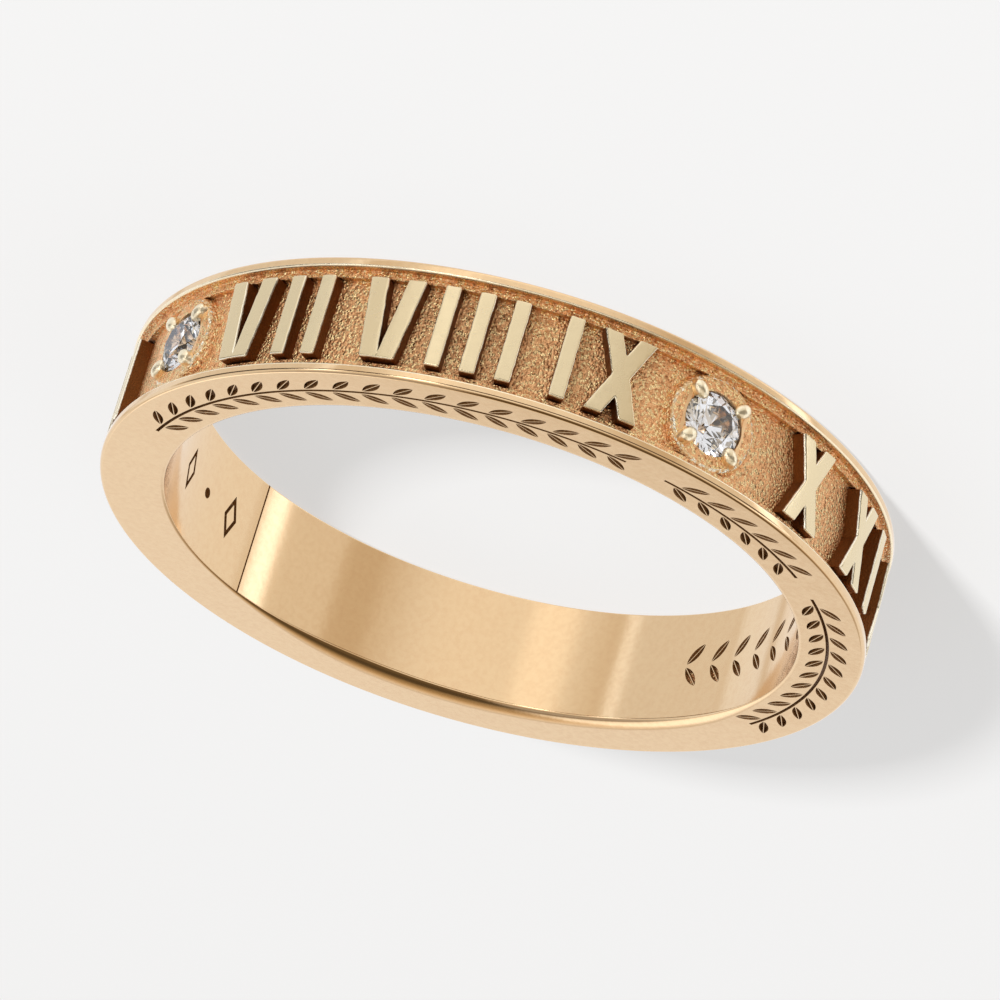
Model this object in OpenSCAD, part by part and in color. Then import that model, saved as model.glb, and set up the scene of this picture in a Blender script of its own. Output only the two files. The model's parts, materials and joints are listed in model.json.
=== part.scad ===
/* [Band] */
// Inside radius of the finger hole, set by the ring size
finger_r = 8.675; // [7.5:0.005:10.5]
// Thickness of the wall, from the finger hole to the top of the rims
wall_t = 1.785; // [1.7:0.005:2.2]
// Width of the band along the finger
band_w = 3.4; // [3.3:0.05:4.2]
// Width of each polished rim beside the channel
rim_w = 0.28; // [0.2:0.02:0.32]
// Rounding of the outer edge of each rim
rim_round = 0.1; // [0.04:0.02:0.14]
// Rounding of both edges of the finger hole
finger_round = 0.25; // [0.1:0.05:0.35]

/* [Channel] */
// Depth of the sandblasted ledge below the rims
ledge_depth = 0.24; // [0.2:0.02:0.3]
// Width of the ledge beside each rim
ledge_w = 0.22; // [0.16:0.02:0.24]
// Depth of the numeral panels below the rims
panel_depth = 0.42; // [0.36:0.02:0.5]

/* [Numerals] */
// Height of the raised numerals, measured across the band
numeral_h = 2.32; // [2:0.02:2.32]
// Width of an upright bar
bar_w = 0.42; // [0.34:0.02:0.48]
// Width of a slanted stroke, measured along the ring
slant_w = 0.5; // [0.4:0.02:0.54]
// Width of the cross-shaped numeral
cross_w = 1.48; // [1.3:0.02:1.5]
// Width of the top of the vee-shaped numeral
vee_w = 1.54; // [1.4:0.02:1.56]
// Width of the flat foot of the vee-shaped numeral
vee_foot_w = 0.96; // [0.8:0.02:1]
// Part of the ring that one line of numerals may fill, in degrees
line_angle = 66.5; // [62:0.5:68]
// Largest gap between two numerals of one number
gap_max = 0.75; // [0.5:0.05:0.8]
// Gap between two numbers, as a multiple of the gap inside a number
word_ratio = 2; // [1.8:0.1:3]

/* [Stones] */
// Diameter of each round brilliant at its girdle
stone_d = 1.7; // [1.5:0.05:1.75]
// Depth of the girdle below the rims
girdle_depth = 0.3; // [0.28:0.01:0.32]
// Radius of the round pad that carries each stone
pad_r = 1.26; // [1.24:0.01:1.34]
// Radius of a claw
claw_r = 0.19; // [0.15:0.01:0.2]
// Distance from the middle of the stone to the middle of a claw
claw_reach = 0.97; // [0.95:0.01:1]
// Gap left all round each stone
stone_gap = 0.02; // [0.01:0.005:0.03]

/* [Engraving] */
// Depth of the leaf branches cut into the upper side face
branch_depth = 0.12; // [0.05:0.01:0.15]
// Distance of the branches' stems from the finger hole
branch_out = 0.79; // [0.76:0.01:0.84]
// Height of the branches, measured across the face
branch_h = 0.98; // [0.7:0.02:1]
// Width of a stem
stem_w = 0.07; // [0.05:0.01:0.12]
// Length of one leaf
leaf_l = 0.76; // [0.6:0.02:0.78]
// Width of one leaf
leaf_w = 0.25; // [0.16:0.01:0.26]
// Spacing of the leaf pairs along the face, in degrees
leaf_pitch = 5.05; // [4.8:0.05:6]
// Depth of the marks cut into the wall of the finger hole
mark_depth = 0.1; // [0.05:0.01:0.12]
// Height of the lozenge marks, measured across the band
mark_h = 1.3; // [1:0.05:1.4]
// Width of the lozenge marks
mark_w = 0.6; // [0.4:0.05:0.7]

/* [Hidden] */

// Radii of the outer surfaces, from the ring's axis
outer_r = finger_r + wall_t;
ledge_r = outer_r - ledge_depth;
panel_r = outer_r - panel_depth;
mid_z = band_w / 2;

// A cut runs this far past the surface that it opens
over = 0.5;
// A raised form starts this far below the surface that it stands on
root = 0.15;
// Facets of a full turn, on the ring itself and on small round forms
ring_fn = 180;
small_fn = 48;
// Straight steps that make up one rounded edge
round_steps = 5;

// Where the stones sit, with one line of numerals after each, in reading order
STONE_ANGLES = [0, 90, 180, 270];
// A line of numerals and the middle of its panel
LINES = [
    ["VII VIII IX", -45],
    ["X XI XII", -135],
    ["I II III", -225],
    ["IV V VI", -315],
];
// First and last angle of each leaf branch on the side face
BRANCHES = [
    [11, -80],
    [-87, -119.5],
    [-126.5, -183],
];
// The two leaves of a pair spring this far apart, as a part of the pitch
pair_lag = 0.12;
// Where the lozenges, the dot between them and the row of leaves lie in the finger hole
LOZENGE_ANGLES = [46.5, 64.5];
DOT_ANGLE = 55.5;
SPRIG_ANGLES = [162:6:204];
sprig_lean = 50;

// Proportions of the round brilliant, as parts of its radius
stone_r = stone_d / 2;
table_r = 0.55 * stone_r;
star_r = 0.77 * stone_r;
lower_r = 0.24 * stone_r;
crown_h = 0.29 * stone_r;
girdle_h = 0.045 * stone_r;
pavilion_h = 0.86 * stone_r;
facets = 8;
half_facet = 180 / facets;
// Distances from the ring's axis to the levels of the stone
girdle_top = outer_r - girdle_depth + girdle_h / 2;
girdle_low = girdle_top - girdle_h;
table_top = girdle_top + crown_h;
culet = girdle_low - pavilion_h;
// Claws stop just short of the rims' height, and grip above this level
claw_top = outer_r - 0.02;
grip_level = ledge_r + 0.03;

// Points of a rounded edge with the middle [x, y], from angle a to angle b
function arc(x, y, r, a, b) = [
    for (i = [0:round_steps])
        let (t = a + (b - a) * i / round_steps)
            [x + r * cos(t), y + r * sin(t)]
];

// Cross-section of the band: rounded wall, two rims, ledges and the deeper panel
module wall_profile() {
    low = finger_round;
    high = band_w - finger_round;
    ledge_low = rim_w + ledge_w;
    ledge_high = band_w - ledge_low;
    polygon(concat(
        arc(finger_r + finger_round, low, finger_round, 270, 180),
        arc(finger_r + finger_round, high, finger_round, 180, 90),
        arc(outer_r - rim_round, band_w - rim_round, rim_round, 90, 0),
        [[outer_r, band_w - rim_w], [ledge_r, band_w - rim_w], [ledge_r, ledge_high]],
        [[panel_r, ledge_high], [panel_r, ledge_low], [ledge_r, ledge_low]],
        [[ledge_r, rim_w], [outer_r, rim_w]],
        arc(outer_r - rim_round, rim_round, rim_round, 0, -90)
    ));
}

// Puts a form on the wall: +Z leads outwards, +X along the line of numerals
module on_wall(angle) {
    rotate([0, 0, angle])
        translate([0, 0, mid_z])
            rotate([0, 90, 0])
                rotate([0, 0, -90])
                    children();
}

// Outlines of the three numerals, each in the middle of its own width
module bar_outline() {
    translate([-bar_w / 2, -numeral_h / 2])
        square([bar_w, numeral_h]);
}

module stroke_outline(low_x, high_x) {
    polygon([
        [low_x - slant_w / 2, -numeral_h / 2],
        [low_x + slant_w / 2, -numeral_h / 2],
        [high_x + slant_w / 2, numeral_h / 2],
        [high_x - slant_w / 2, numeral_h / 2],
    ]);
}

module cross_outline() {
    side = (cross_w - slant_w) / 2;
    stroke_outline(-side, side);
    stroke_outline(side, -side);
}

module vee_outline() {
    foot = (vee_foot_w - slant_w) / 2;
    side = (vee_w - slant_w) / 2;
    stroke_outline(-foot, -side);
    stroke_outline(foot, side);
}

// Width of a numeral, and the gaps that spread a line over its panel
function glyph_w(c) = c == "I" ? bar_w : c == "V" ? vee_w : c == "X" ? cross_w : 0;
function gap_weight(s, i) = s[i] == " " || s[i + 1] == " " ? word_ratio / 2 : 1;
function ink(s, i = 0) = i == len(s) ? 0 : glyph_w(s[i]) + ink(s, i + 1);
function weights(s, i = 0) = i >= len(s) - 1 ? 0 : gap_weight(s, i) + weights(s, i + 1);
function line_room() = line_angle * PI / 180 * outer_r;
function gap(s) = min(gap_max, (line_room() - ink(s)) / weights(s));
function line_l(s) = ink(s) + gap(s) * weights(s);
function glyph_start(s, i) =
    i == 0 ? -line_l(s) / 2
           : glyph_start(s, i - 1) + glyph_w(s[i - 1]) + gap(s) * gap_weight(s, i - 1);
function along(x) = x / outer_r * 180 / PI;

// One raised numeral, from below the panel's floor to beyond the rims
module numeral(c) {
    translate([0, 0, panel_r - root])
        linear_extrude(panel_depth + root + over) {
            if (c == "I") bar_outline();
            if (c == "V") vee_outline();
            if (c == "X") cross_outline();
        }
}

module numeral_line(s, angle) {
    for (i = [0:len(s) - 1])
        if (s[i] != " ")
            on_wall(angle - along(glyph_start(s, i) + glyph_w(s[i]) / 2))
                numeral(s[i]);
}

// All numerals, cut to the height of the rims
module numerals() {
    intersection() {
        cylinder(r = outer_r, h = band_w, $fn = ring_fn);
        for (line = LINES)
            numeral_line(line[0], line[1]);
    }
}

// Round pad under a stone, level with the ledges
module pads() {
    intersection() {
        cylinder(r = ledge_r, h = band_w, $fn = ring_fn);
        for (angle = STONE_ANGLES)
            on_wall(angle)
                translate([0, 0, panel_r - root])
                    cylinder(r = pad_r, h = panel_depth, $fn = small_fn);
    }
}

// A claw: a round post with a domed tip
module claw() {
    post_h = claw_top - claw_r - (panel_r - root);
    translate([0, 0, panel_r - root])
        rotate_extrude($fn = small_fn)
            polygon(concat([[0, 0]], [[claw_r, 0]], arc(0, post_h, claw_r, 0, 90)));
}

module claws() {
    for (angle = STONE_ANGLES, turn = [45:90:315])
        on_wall(angle)
            rotate([0, 0, turn])
                translate([claw_reach, 0, 0])
                    claw();
}

// Room for a stone: its own outline with the gap added, open under the claws
module stone_seat() {
    slope = (stone_r - table_r) / crown_h;
    grip_r = stone_r - (grip_level - girdle_top) * slope + stone_gap;
    seat_r = stone_r + stone_gap;
    rotate_extrude($fn = small_fn)
        polygon([
            [0, culet - stone_gap * 2],
            [seat_r, girdle_low - stone_gap],
            [seat_r, grip_level],
            [grip_r, grip_level],
            [table_r + stone_gap, table_top + stone_gap],
            [0, table_top + stone_gap],
        ]);
}

// Outline of a leaf with two pointed ends, lying along +X from its stalk
module leaf_outline(l, w) {
    side_r = (l * l + w * w) / (4 * w);
    translate([l / 2, 0])
        intersection() {
            translate([0, side_r - w / 2])
                circle(r = side_r, $fn = ring_fn);
            translate([0, w / 2 - side_r])
                circle(r = side_r, $fn = ring_fn);
        }
}

// Leaf pairs along a branch, both leaning towards the branch's end
module branch_leaves(first, last) {
    count = floor((first - last) / leaf_pitch);
    lean = asin((branch_h - leaf_w / 2) / 2 / leaf_l);
    for (i = [0:count - 1], side = [-1, 1])
        rotate([0, 0, first - (i + (1 + side * pair_lag) / 2) * leaf_pitch])
            translate([finger_r + branch_out + side * stem_w, 0])
                rotate([0, 0, -90 + side * lean])
                    leaf_outline(leaf_l, leaf_w);
}

// The stem of a branch, a narrow groove that follows the face
module branch_stem(first, last) {
    rotate([0, 0, last])
        rotate_extrude(angle = first - last, $fn = ring_fn)
            translate([finger_r + branch_out - stem_w / 2, 0])
                square([stem_w, branch_depth + over]);
}

module branches() {
    translate([0, 0, band_w - branch_depth])
        for (branch = BRANCHES) {
            branch_stem(branch[0], branch[1]);
            linear_extrude(branch_depth + over)
                branch_leaves(branch[0], branch[1]);
        }
}

// Cuts an outline into the wall of the finger hole
module wall_mark(angle) {
    on_wall(angle)
        translate([0, 0, finger_r - over])
            linear_extrude(over + mark_depth)
                children();
}

module wall_marks() {
    for (angle = LOZENGE_ANGLES)
        wall_mark(angle)
            polygon([[0, -mark_h / 2], [mark_w / 2, 0], [0, mark_h / 2], [-mark_w / 2, 0]]);
    wall_mark(DOT_ANGLE)
        circle(r = mark_w / 4, $fn = small_fn);
    for (angle = SPRIG_ANGLES, side = [-1, 1])
        wall_mark(angle)
            rotate([0, 0, 180 + side * sprig_lean])
                translate([stem_w, 0])
                    leaf_outline(leaf_l, leaf_w);
}

module band() {
    color("goldenrod")
        difference() {
            union() {
                rotate_extrude($fn = ring_fn)
                    wall_profile();
                numerals();
                pads();
                claws();
            }
            for (angle = STONE_ANGLES)
                on_wall(angle)
                    stone_seat();
            branches();
            wall_marks();
        }
}

// Corners of a level of the stone
function corners(r, z, n, turn) = [
    for (i = [0:n - 1])
        [r * cos(i * 360 / n + turn), r * sin(i * 360 / n + turn), z]
];

// Round brilliant: table, stars, kites and halves above and below the girdle
module brilliant() {
    kite_slope = crown_h / (stone_r - table_r);
    star_z = table_top - (star_r * cos(half_facet) - table_r) * kite_slope;
    lower_z = culet + lower_r * cos(half_facet) * pavilion_h / stone_r;
    // First corner of each level in the list of points
    star = facets;
    top = star + facets;
    low = top + 2 * facets;
    lower = low + 2 * facets;
    tip = lower + facets;
    ring = [0:facets - 1];
    polyhedron(
        points = concat(
            corners(table_r, table_top, facets, 0),
            corners(star_r, star_z, facets, half_facet),
            corners(stone_r, girdle_top, 2 * facets, 0),
            corners(stone_r, girdle_low, 2 * facets, 0),
            corners(lower_r, lower_z, facets, half_facet),
            [[0, 0, culet]]
        ),
        faces = concat(
            [[for (i = [facets - 1:-1:0]) i]],
            [for (i = ring) [i, (i + 1) % facets, star + i]],
            [for (i = ring) [i, star + i, top + 2 * i, star + (i + facets - 1) % facets]],
            [for (i = ring) [star + i, top + 2 * i + 1, top + 2 * i]],
            [for (i = ring) [star + i, top + (2 * i + 2) % (2 * facets), top + 2 * i + 1]],
            [for (i = [0:2 * facets - 1])
                let (j = (i + 1) % (2 * facets)) [top + i, top + j, low + j, low + i]],
            [for (i = ring) [lower + i, low + 2 * i, low + 2 * i + 1]],
            [for (i = ring) [lower + i, low + 2 * i + 1, low + (2 * i + 2) % (2 * facets)]],
            [for (i = ring) [tip, lower + (i + facets - 1) % facets, low + 2 * i, lower + i]]
        )
    );
}

module stone(n) {
    color("lightcyan")
        on_wall(STONE_ANGLES[n - 1])
            brilliant();
}

band();
stone(1);  // stone_1
stone(2);  // stone_2
stone(3);  // stone_3
stone(4);  // stone_4
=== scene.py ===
"""Gold class ring with raised numerals, round stones and engraved leaves, on a pale floor.

The pieces are modelled in millimetres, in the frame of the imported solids, and each finished
mesh is scaled to metres.
"""
import json
import logging
import math
from contextlib import contextmanager
from dataclasses import dataclass, field
from enum import Enum, IntEnum
from typing import Any, Callable, Iterator, Sequence

import bmesh
import bpy
from mathutils import Matrix, Vector


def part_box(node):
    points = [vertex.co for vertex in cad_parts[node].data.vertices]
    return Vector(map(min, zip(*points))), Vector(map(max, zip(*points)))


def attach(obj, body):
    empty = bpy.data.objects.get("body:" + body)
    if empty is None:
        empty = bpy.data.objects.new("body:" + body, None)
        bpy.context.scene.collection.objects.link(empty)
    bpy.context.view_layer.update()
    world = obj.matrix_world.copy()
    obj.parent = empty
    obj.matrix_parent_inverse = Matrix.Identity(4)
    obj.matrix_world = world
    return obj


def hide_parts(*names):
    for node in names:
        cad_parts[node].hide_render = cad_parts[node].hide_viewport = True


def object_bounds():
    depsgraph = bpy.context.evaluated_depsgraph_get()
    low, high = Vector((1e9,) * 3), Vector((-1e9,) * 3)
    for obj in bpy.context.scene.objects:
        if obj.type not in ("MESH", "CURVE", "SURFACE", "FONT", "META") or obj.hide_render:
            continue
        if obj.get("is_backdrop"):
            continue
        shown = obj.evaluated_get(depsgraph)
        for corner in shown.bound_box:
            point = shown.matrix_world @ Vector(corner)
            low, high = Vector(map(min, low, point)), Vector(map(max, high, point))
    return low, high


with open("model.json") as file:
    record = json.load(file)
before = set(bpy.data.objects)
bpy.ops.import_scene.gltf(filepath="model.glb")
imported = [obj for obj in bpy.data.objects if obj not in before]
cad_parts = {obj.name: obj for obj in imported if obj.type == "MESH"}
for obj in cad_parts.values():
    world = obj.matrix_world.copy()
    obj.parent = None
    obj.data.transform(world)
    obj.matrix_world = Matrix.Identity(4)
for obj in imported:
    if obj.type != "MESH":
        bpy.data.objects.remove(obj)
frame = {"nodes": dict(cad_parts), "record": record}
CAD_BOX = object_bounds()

LOG = logging.getLogger("ring")
BODY = "root"
BAND = "band"

MM = 0.001
# Cutters run this far past the surface that they open, in millimetres
OVER = 0.5
# A raised form starts this far below the surface that it stands on
ROOT = 0.15
# Corners closer than this are one corner
WELD = 1e-4
# A face this close to a surface lies in it
CLOSE = 1e-3
# A form looks along an axis if its direction has more than this share of it
ALONG = 0.9
# Neighbouring faces that turn less than this are one flat face
FLAT_ANGLE = 0.01
# Edges that turn less than this are smooth
SMOOTH_ANGLE = math.radians(40)


class Part(Enum):
    """What an edit-mode selection is made of."""

    CORNERS = "VERT"
    EDGES = "EDGE"
    FACES = "FACE"


class Glyph(Enum):
    """The three raised numerals."""

    BAR = "I"
    VEE = "V"
    CROSS = "X"


class ShellFinish(IntEnum):
    """Order of the band shell's finishes."""

    POLISHED = 0
    BLASTED = 1
    ENGRAVED = 2
    # Brighter gold on the rims' inner edges: painted highlight
    WORN = 3


class PadFinish(IntEnum):
    """Order of a stone pad's finishes."""

    TOP = 0
    # The pad's rounded edge, painted brighter as a highlight
    EDGE = 1
    SEAT = 2


Piece = bpy.types.Object
Material = bpy.types.Material
Colour = tuple[float, float, float, float]
Point = tuple[float, float, float]
Pair = tuple[float, float]
Test = Callable[[Vector, Vector], bool]
Choice = Callable[[Vector, Vector], int]


def pick_nothing() -> None:
    """Deselects everything, so that an operator acts only on what comes next."""
    for piece in bpy.context.selected_objects:
        piece.select_set(False)


def pick_only(*pieces: Piece) -> None:
    """Selects these pieces and nothing else, the first one active.

    Args:
        pieces: objects to select.
    """
    pick_nothing()
    for piece in pieces:
        piece.select_set(True)
    bpy.context.view_layer.objects.active = pieces[0]


@contextmanager
def editing(piece: Piece) -> Iterator[None]:
    """Edit mode on one piece, with all of it selected at the start.

    Args:
        piece: the mesh object to edit.

    Yields:
        Nothing, while the piece is in edit mode.
    """
    pick_only(piece)
    bpy.ops.object.mode_set(mode="EDIT")
    bpy.ops.mesh.select_mode(type="FACE")
    bpy.ops.mesh.select_all(action="SELECT")
    yield
    bpy.ops.object.mode_set(mode="OBJECT")


def select_where(piece: Piece, part: Part, test: Test) -> None:
    """Selects what passes a test, in edit mode.

    Args:
        piece: the mesh object that is being edited.
        part: corners, edges or faces.
        test: takes the middle and the normal of one of them.
    """
    bpy.ops.mesh.select_mode(type=part.value)
    bpy.ops.mesh.select_all(action="DESELECT")
    mesh = bmesh.from_edit_mesh(piece.data)
    if part is Part.FACES:
        for face in mesh.faces:
            face.select_set(test(face.calc_center_median(), face.normal))
    elif part is Part.EDGES:
        for edge in mesh.edges:
            ends = [corner.co for corner in edge.verts]
            edge.select_set(test((ends[0] + ends[1]) / 2, (ends[1] - ends[0]).normalized()))
    else:
        for corner in mesh.verts:
            corner.select_set(test(corner.co, corner.normal))
    mesh.select_flush_mode()
    bmesh.update_edit_mesh(piece.data)


def apply_place(piece: Piece, placed: Matrix | None = None) -> None:
    """Puts an object's place, turn and scale into its mesh.

    Args:
        piece: the object.
        placed: where it goes first, if it isn't there yet.
    """
    if placed is not None:
        piece.matrix_world = placed @ piece.matrix_world
    pick_only(piece)
    bpy.ops.object.transform_apply(location=True, rotation=True, scale=True)


def add_form(add: Callable[..., Any], scale: Point = (1, 1, 1), **settings: Any) -> Piece:
    """Adds one of Blender's own forms, with its place, turn and scale in its mesh.

    Args:
        add: the operator that adds it.
        scale: its scale along each of its own axes.
        settings: for the operator.

    Returns:
        The form.
    """
    pick_nothing()
    add(**settings)
    form = bpy.context.object
    form.scale = scale
    apply_place(form)
    return form


def modify(piece: Piece, kind: str, **settings: Any) -> None:
    """Adds one modifier with its settings and applies it.

    Args:
        piece: the object.
        kind: Blender's type of modifier.
        settings: values for the modifier's own fields.
    """
    pick_only(piece)
    modifier = piece.modifiers.new(kind.lower(), kind)
    for name, value in settings.items():
        setattr(modifier, name, value)
    bpy.ops.object.modifier_apply(modifier=modifier.name)


def boolean(piece: Piece, tool: Piece, operation: str) -> None:
    """Cuts or joins a piece with a tool, a closed mesh that is used up."""
    modify(piece, "BOOLEAN", operation=operation, object=tool, solver="EXACT")
    bpy.data.objects.remove(tool)


def copy_of(piece: Piece) -> Piece:
    """A copy of a piece with a mesh of its own.

    Args:
        piece: the object to copy.

    Returns:
        The copy.
    """
    pick_only(piece)
    bpy.ops.object.duplicate(linked=False)
    return bpy.context.view_layer.objects.active


def joined(pieces: Sequence[Piece]) -> Piece:
    """Joins several pieces into the first one.

    Args:
        pieces: mesh objects.

    Returns:
        The one object that is left.
    """
    pick_only(*pieces)
    bpy.ops.object.join()
    return pieces[0]


def extrude(by: Point) -> None:
    """Extrudes the selected faces in edit mode, by a shift in millimetres."""
    bpy.ops.mesh.extrude_region_move(TRANSFORM_OT_translate={"value": by})


def slice_all(point: Point, normal: Point) -> None:
    """Cuts the whole mesh along a plane through a point, in edit mode."""
    bpy.ops.mesh.select_all(action="SELECT")
    bpy.ops.mesh.bisect(plane_co=point, plane_no=normal)


def all_outward() -> None:
    """Merges double corners in edit mode and turns every face outwards."""
    bpy.ops.mesh.select_all(action="SELECT")
    bpy.ops.mesh.remove_doubles(threshold=WELD)
    bpy.ops.mesh.normals_make_consistent(inside=False)


def dress(
    piece: Piece, name: str, finishes: Sequence[Material], choose: Choice | None = None
) -> Piece:
    """Names a finished piece, smooths it, paints it and hangs it on the frame.

    Args:
        piece: the object, in millimetres.
        name: its plain name.
        finishes: its materials.
        choose: gives a face the number of its material, from its middle and normal.

    Returns:
        The piece, in metres.
    """
    piece.name = name
    piece.data.name = name
    piece.data.materials.clear()
    for finish in finishes:
        piece.data.materials.append(finish)
    for face in piece.data.polygons:
        face.material_index = choose(face.center, face.normal) if choose else 0
    pick_only(piece)
    bpy.ops.object.shade_smooth_by_angle(angle=SMOOTH_ANGLE)
    modify(piece, "WEIGHTED_NORMAL", mode="FACE_AREA", keep_sharp=True)
    apply_place(piece, Matrix.Scale(MM, 4))
    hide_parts(BAND)
    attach(piece, BODY)
    LOG.info("%s: %d faces", name, len(piece.data.polygons))
    return piece


class Wire:
    """A shader value that Python's own operators work on."""

    def __init__(self, graph: "Graph", socket: bpy.types.NodeSocket) -> None:
        """Wraps an output socket of a graph."""
        self.graph = graph
        self.socket = socket

    def _maths(self, operation: str, *values: Any) -> "Wire":
        """Adds one Math node that works on these values."""
        sockets = dict(enumerate(values))
        return self.graph.add("ShaderNodeMath", {"operation": operation}, sockets)

    def __add__(self, other: "Wire | float") -> "Wire":
        """Sum."""
        return self._maths("ADD", self, other)

    def __sub__(self, other: "Wire | float") -> "Wire":
        """Difference."""
        return self._maths("SUBTRACT", self, other)

    def __mul__(self, other: "Wire | float") -> "Wire":
        """Product."""
        return self._maths("MULTIPLY", self, other)

    def __truediv__(self, other: "Wire | float") -> "Wire":
        """Quotient."""
        return self._maths("DIVIDE", self, other)

    def __rsub__(self, other: float) -> "Wire":
        """A number less this value."""
        return self._maths("SUBTRACT", other, self)

    def __pow__(self, other: float) -> "Wire":
        """Power."""
        return self._maths("POWER", self, other)

    __radd__ = __add__
    __rmul__ = __mul__

    def at_least(self, low: float) -> "Wire":
        """The larger of this value and a number."""
        return self._maths("MAXIMUM", self, low)

    def step(self, low: float, high: float) -> "Wire":
        """Runs smoothly from 0 at the low value to 1 at the high one.

        Args:
            low: value up to which the result is 0.
            high: value from which the result is 1.

        Returns:
            The result.
        """
        return self.graph.add(
            "ShaderNodeMapRange",
            {"interpolation_type": "SMOOTHSTEP"},
            {"Value": self, "From Min": low, "From Max": high},
        )

    def between(self, low: float, high: float) -> "Wire":
        """Runs from the low number at 0 to the high number at 1."""
        return self * (high - low) + low


class Graph:
    """The nodes of one material or world."""

    def __init__(self, tree: bpy.types.NodeTree) -> None:
        """Empties the node tree."""
        self.tree = tree
        tree.nodes.clear()

    def node(
        self,
        kind: str,
        settings: dict[str, Any] | None = None,
        sockets: dict[Any, Any] | None = None,
    ) -> bpy.types.Node:
        """Adds a node, with its settings first and then its sockets.

        Args:
            kind: Blender's type of node.
            settings: the node's own fields.
            sockets: a number, a colour or a wire for each input, by name or place.

        Returns:
            The node.
        """
        node = self.tree.nodes.new(kind)
        for name, value in (settings or {}).items():
            setattr(node, name, value)
        for name, value in (sockets or {}).items():
            if isinstance(value, Wire):
                self.tree.links.new(value.socket, node.inputs[name])
            else:
                node.inputs[name].default_value = value
        return node

    def add(
        self,
        kind: str,
        settings: dict[str, Any] | None = None,
        sockets: dict[Any, Any] | None = None,
        output: str | int = 0,
    ) -> Wire:
        """Adds a node and gives one of its outputs as a wire."""
        return Wire(self, self.node(kind, settings, sockets).outputs[output])

    def blend(self, share: Wire, first: Any, second: Any) -> Wire:
        """Mixes two colours or wires: the first at a share of 0, the second at 1."""
        # Inputs 6 and 7 and output 2 of a Mix node are its colours
        sockets = {0: share, 6: first, 7: second}
        return self.add("ShaderNodeMix", {"data_type": "RGBA"}, sockets, 2)

    def place(self) -> Wire:
        """Object coordinates of the surface, in metres."""
        return self.add("ShaderNodeTexCoord", output="Object")

    def parts(self, vector: Wire) -> "Parts":
        """X, Y and Z of a vector."""
        first, second, third = self.node("ShaderNodeSeparateXYZ", {}, {0: vector}).outputs
        return Wire(self, first), Wire(self, second), Wire(self, third)

    def grain(self, place: Wire, size: float, detail: float = 2, rough: float = 0.5) -> Wire:
        """Noise from 0 to 1.

        Args:
            place: the coordinates that it lies on.
            size: how wide its patches are, in millimetres.
            detail: how many finer layers it has.
            rough: how strong the finer layers are.

        Returns:
            The noise.
        """
        scale = 1 / (size * MM)
        sockets = {"Vector": place, "Scale": scale, "Detail": detail, "Roughness": rough}
        return self.add("ShaderNodeTexNoise", {}, sockets)

    def cells(self, place: Wire, size: float, output: str) -> Wire:
        """Round cells: the Color output is random for each, Distance grows from its middle."""
        sockets = {"Vector": place, "Scale": 1 / (size * MM)}
        return self.add("ShaderNodeTexVoronoi", {}, sockets, output)

    def relief(self, height: Wire, depth: float, under: Wire | None = None) -> Wire:
        """Normals of a surface with this relief.

        Args:
            height: from 0 to 1.
            depth: what a height of 1 stands for, in millimetres.
            under: normals of a coarser relief that this one lies on.

        Returns:
            The normal.
        """
        sockets = {"Strength": 1, "Distance": depth * MM, "Height": height}
        if under is not None:
            sockets["Normal"] = under
        return self.add("ShaderNodeBump", {}, sockets)

    def radius(self, place: Wire) -> Wire:
        """Distance of the surface's coordinates from the ring's axis, in millimetres."""
        x, y, _ = self.parts(place)
        return (x * x + y * y) ** 0.5 * (1 / MM)

    def corners(self, reach: float) -> Wire:
        """0 in a tight corner to 1 in the open, within a reach in millimetres."""
        sockets = {"Distance": reach * MM}
        return self.add("ShaderNodeAmbientOcclusion", {"samples": 12}, sockets, "AO")


Parts = tuple[Wire, Wire, Wire]


class Finish:
    """A surface finish that is made a material."""

    def sockets(self, graph: Graph) -> dict[str, Any]:
        """What goes into the Principled shader."""
        raise NotImplementedError

    def make(self, name: str) -> Material:
        """Builds the material.

        Args:
            name: of the material.

        Returns:
            The material.
        """
        material = bpy.data.materials.new(name)
        material.use_nodes = True
        graph = Graph(material.node_tree)
        shader = graph.add("ShaderNodeBsdfPrincipled", {}, self.sockets(graph))
        graph.node("ShaderNodeOutputMaterial", {}, {"Surface": shader})
        return material


@dataclass(frozen=True)
class PolishedGold(Finish):
    """Hand-polished yellow gold, with a faint mottle and soft waves."""

    colour: Colour = (0.82, 0.58, 0.335, 1)
    worn: Colour = (0.77, 0.51, 0.285, 1)
    roughness: Pair = (0.08, 0.17)
    wave_size: float = 1.1
    wave_depth: float = 0.004
    mottle_size: float = 0.16
    mottle_depth: float = 0.0006
    # Where the mottle starts and ends, and how strongly it shows
    mottle_range: Pair = (0.35, 0.7)
    mottle_share: float = 0.5

    def sockets(self, graph: Graph) -> dict[str, Any]:
        """Mottled gold over soft waves.

        Args:
            graph: the material's nodes.

        Returns:
            What goes into the shader.
        """
        place = graph.place()
        waves = graph.relief(graph.grain(place, self.wave_size, detail=3), self.wave_depth)
        mottle = graph.grain(place, self.mottle_size, detail=4, rough=0.6)
        share = mottle.step(*self.mottle_range) * self.mottle_share
        return {
            "Base Color": graph.blend(share, self.colour, self.worn),
            "Metallic": 1,
            "Roughness": mottle.between(*self.roughness),
            "Normal": graph.relief(mottle, self.mottle_depth, waves),
        }


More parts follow.
